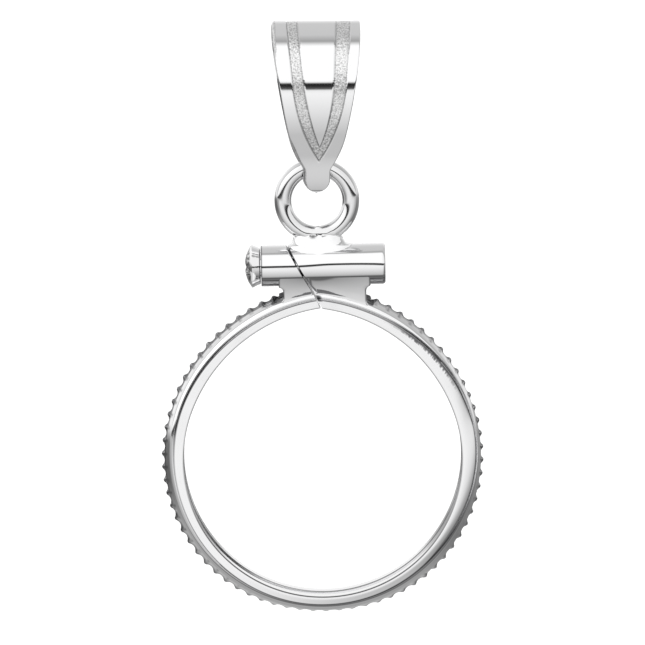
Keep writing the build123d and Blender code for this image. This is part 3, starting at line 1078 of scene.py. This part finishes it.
        # the lines as shares of the width, kept far enough apart for the columns between them
        room = [v["columnRoom"] * count / sum(counts) for count in counts]
        shares = [(x - left) / (right - left) for x in lines]
        for i in range(len(shares)):
            before = shares[i - 1] if i else 0
            shares[i] = max(shares[i], before + room[i])
        for i in range(len(shares) - 1, -1, -1):
            after = shares[i + 1] if i + 1 < len(shares) else 1
            shares[i] = min(shares[i], after - room[i + 1])
        return shares

    def bandDepth(x, z, y):
        # how deep the band is sunk here, how matte it is, and the painted shade in its border
        o, g = outerV(z), innerV(z)
        d = o - abs(x - v["bandShift"])
        if g > 0:
            d = min(d, abs(x - gapMiddle(z)) - g)
        d = min(d, v["bandWrap"] - y)
        b = v["borderWidth"]
        inside = easeStep(d / b + 0.5)
        border = hump(d - b * 0.4, b)
        grain = 0.0
        if inside > 0.05:
            p = Vector((x, y, z))
            grain = 0.6 * waves(p, v["grainSize"], 21) + 0.4 * waves(p, v["grainSize"] * 0.45, 22)
        depth = v["bandRecess"] * inside + v["borderDepth"] * border + v["grainDepth"] * grain * inside
        return depth, inside, v["borderDark"] * border

    points, faces, mask, lines = [], [], [], []

    def addRow(row):
        start = len(points)
        points.extend(p[:3] for p in row)
        mask.extend(p[3] for p in row)
        lines.extend(p[4] for p in row)
        return start

    def strip(a, b, count):
        faces.extend((a + k, a + k + 1, b + k + 1, b + k) for k in range(count - 1))

    def halfSkin(front, step):
        side = -1 if front else 1
        stops, seatEnd = stations(step)
        outerStarts, innerStarts = [], []
        matte, darkTone = v["rasp"]
        for o, inner, normal in stops:
            places, w, left, right = columnPlaces(o.y)
            row = []

            def press(x, depth, m=0.0, line=0.0):
                # a point of the outer face, pressed in by depth
                row.append((x, side * (o.x - normal.x * depth), o.y - normal.y * depth, m, line))

            bare = w + left
            rasped = easeStep(bare / v["raspFull"])
            for a in v["leftRim"]:
                sink = (1 - math.cos(a)) * (edge + v["filedDepth"] * (bare - edge) / v["filedFull"])
                # painted shade: a dark outline on the edge, and on the filed face
                dark = v["rimDark"] if a == v["leftRim"][0] else darkTone * rasped
                press(left - bare * math.sin(a), sink, matte * rasped, dark)
            for x in places:
                press(x, *bandDepth(x, o.y, -o.x if front else o.x))
            for a in v["rightRim"]:
                # painted shade: a dark outline on the right edge
                dark = v["rimDark"] if a == v["rightRim"][-1] else 0
                press(right + (w - right) * math.sin(a), edge * (1 - math.cos(a)), 0, dark)
            count = len(row)
            outerStarts.append(addRow(row))
            # inner face, or the middle plane below the seat
            reach = halfWidth(inner.y)
            row = [(x, side * inner.x, inner.y, 0, 0) for x in spread(-reach, reach, innerCount - 1)]
            innerStarts.append(addRow(row))
        for i in range(len(stops) - 1):
            a, b = outerStarts[i:i + 2]
            c, d = innerStarts[i:i + 2]
            strip(a, b, count)
            if i < seatEnd:
                strip(c, d, innerCount)
            # side walls
            faces.append((a, b, d, c))
            faces.append((a + count - 1, b + count - 1, d + innerCount - 1, c + innerCount - 1))
        return outerStarts[-1], innerStarts[-1], count

    tips = [halfSkin(True, v["rowStep"]), halfSkin(False, v["rowStep"] * v["backCoarser"])]
    # close the tip of each half on the middle plane
    for a, c, count in tips:
        faces.append((*range(a, a + count), *range(c + innerCount - 1, c - 1, -1)))

    pivot = Matrix.Translation(Vector((0, 0, hingeZ)) * mm)
    lean, turn = math.radians(v["lean"]), math.radians(v["turn"])
    hang = Matrix.Rotation(lean, 4, "Y") @ Matrix.Rotation(turn, 4, "Z")
    mover = pivot @ hang @ pivot.inverted()
    # the matte band's mask, and the painted shade marks
    marks = {"matteBand": mask, "engravedLine": lines}
    addPiece("bailStrap", points, faces, "bail", "bail", 62, marks, merge=1e-7, mover=mover)


makeRing(ringValues)
print("ring made")
makeBarrel(barrelValues)
makeBridge(bridgeValues)
print("barrel and bridge made")
makeLoop(loopValues)
makeSaddle(saddleValues)
print("loop and solder made")
makeBail(bailValues)
print("bail made")


# polished white metal, with fine scratches, a matte grain where the band is, and painted shade: a near
# black mixed in by each piece's marks

metalValues = {
    "colour": (0.93, 0.93, 0.935, 1),
    # the wire loop's colour is darker, painted shade
    "wireShadedColour": (0.84, 0.84, 0.845, 1),
    # the near black of the painted shade
    "paintedShadeColour": (0.16, 0.16, 0.165, 1),
    "mirror": 0.05,
    "ring": 0.07,
    "wire": 0.07,
    "band": 0.31,
    "domeEdge": -3.04,       # mm along the barrel
    "domeTones": [(0.40, 0.14), (0.50, 0.40), (0.60, 0.80)],
    "domeRough": 0.20,
    "domeBlend": 0.06,
    "domeSpots": 6500.0,     # per metre
    "domeBump": 0.25,
    "scratches": 900.0,      # per metre
    "scratchBump": 0.03,
    "bumpHeight": 0.00002,   # metres
    "bandGrains": 15000.0,   # per metre
    "bandTones": [(0.36, 0.55), (0.50, 0.84), (0.62, 1.0)],
}


def finishMetal(n, colour, rough, height, strength):
    bump = n.make("ShaderNodeBump", {
        "Height": height, "Strength": strength, "Distance": metalValues["bumpHeight"]})
    n.show(n.make("ShaderNodeBsdfPrincipled", {
        "Base Color": colour, "Metallic": 1.0, "Roughness": rough, "Normal": bump}))


def makeMetal(name, roughness, v, band=False):
    material, n = newMaterial(name)
    place = n.make("ShaderNodeTexCoord", out=3)
    fine = n.make("ShaderNodeTexNoise", {"Vector": place, "Scale": v["scratches"], "Detail": 3.0})
    rough = n.make("ShaderNodeMapRange", {0: fine, 1: 0.3, 2: 0.7, 3: roughness * 0.8, 4: roughness * 1.5})
    colour = v["colour"]
    if band:
        # blasted V band: rough, with light and dark grains
        mask = n.make("ShaderNodeAttribute", out=2, attribute_name="matteBand")
        rough = n.make("ShaderNodeMix", {0: mask, 2: rough, 3: v["band"]})
        grains = n.make("ShaderNodeTexNoise", {"Vector": place, "Scale": v["bandGrains"], "Detail": 2.0})
        tone = n.ramp(grains, v["bandTones"])
        colour = n.make("ShaderNodeMix", {0: mask, 6: colour, 7: tone}, out=2, data_type="RGBA")
    # painted shade: each piece's marks darken the colour towards the near black
    line = n.make("ShaderNodeAttribute", out=2, attribute_name="engravedLine")
    colour = n.make("ShaderNodeMix", {0: line, 6: colour, 7: v["paintedShadeColour"]}, out=2, data_type="RGBA")
    finishMetal(n, colour, rough, fine, v["scratchBump"])
    return material


def makeScrewMetal(v):
    # the domed head is dull and dark, the rest is polished
    material, n = newMaterial("screwMetal")
    place = n.make("ShaderNodeTexCoord", out=3)
    along = n.make("ShaderNodeSeparateXYZ", {0: place})
    start, end = v["domeEdge"] * mm, (v["domeEdge"] - v["domeBlend"]) * mm
    dome = n.make("ShaderNodeMapRange", {0: along, 1: start, 2: end})
    spots = n.make("ShaderNodeTexNoise", {"Vector": place, "Scale": v["domeSpots"], "Detail": 3.0})
    darkTone = n.ramp(spots, v["domeTones"])
    colour = n.make("ShaderNodeMix", {0: dome, 6: v["colour"], 7: darkTone}, out=2, data_type="RGBA")
    rough = n.make("ShaderNodeMapRange", {0: dome, 3: v["mirror"], 4: v["domeRough"]})
    finishMetal(n, colour, rough, spots, v["domeBump"])
    return material


# a darker copy of the metal for the wire loop, painted shade
wireShadedValues = dict(metalValues, colour=metalValues["wireShadedColour"])
finishes = {
    "screw": makeScrewMetal(metalValues),
    "mirror": makeMetal("mirrorMetal", metalValues["mirror"], metalValues),
    "ring": makeMetal("ringMetal", metalValues["ring"], metalValues),
    "wire": makeMetal("wireShadedMetal", wireShadedValues["wire"], wireShadedValues),
    "strap": makeMetal("strapMetal", metalValues["mirror"], metalValues, band=True),
}
finishOf = {"clamp_screw": "screw", "ringBand": "ring", "wireLoop": "wire", "bailStrap": "strap"}
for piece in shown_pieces():
    piece.data.materials.clear()
    piece.data.materials.append(finishes[finishOf.get(piece.name, "mirror")])
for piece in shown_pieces():
    piece.data.calc_loop_triangles()
    print(piece.name, len(piece.data.loop_triangles))
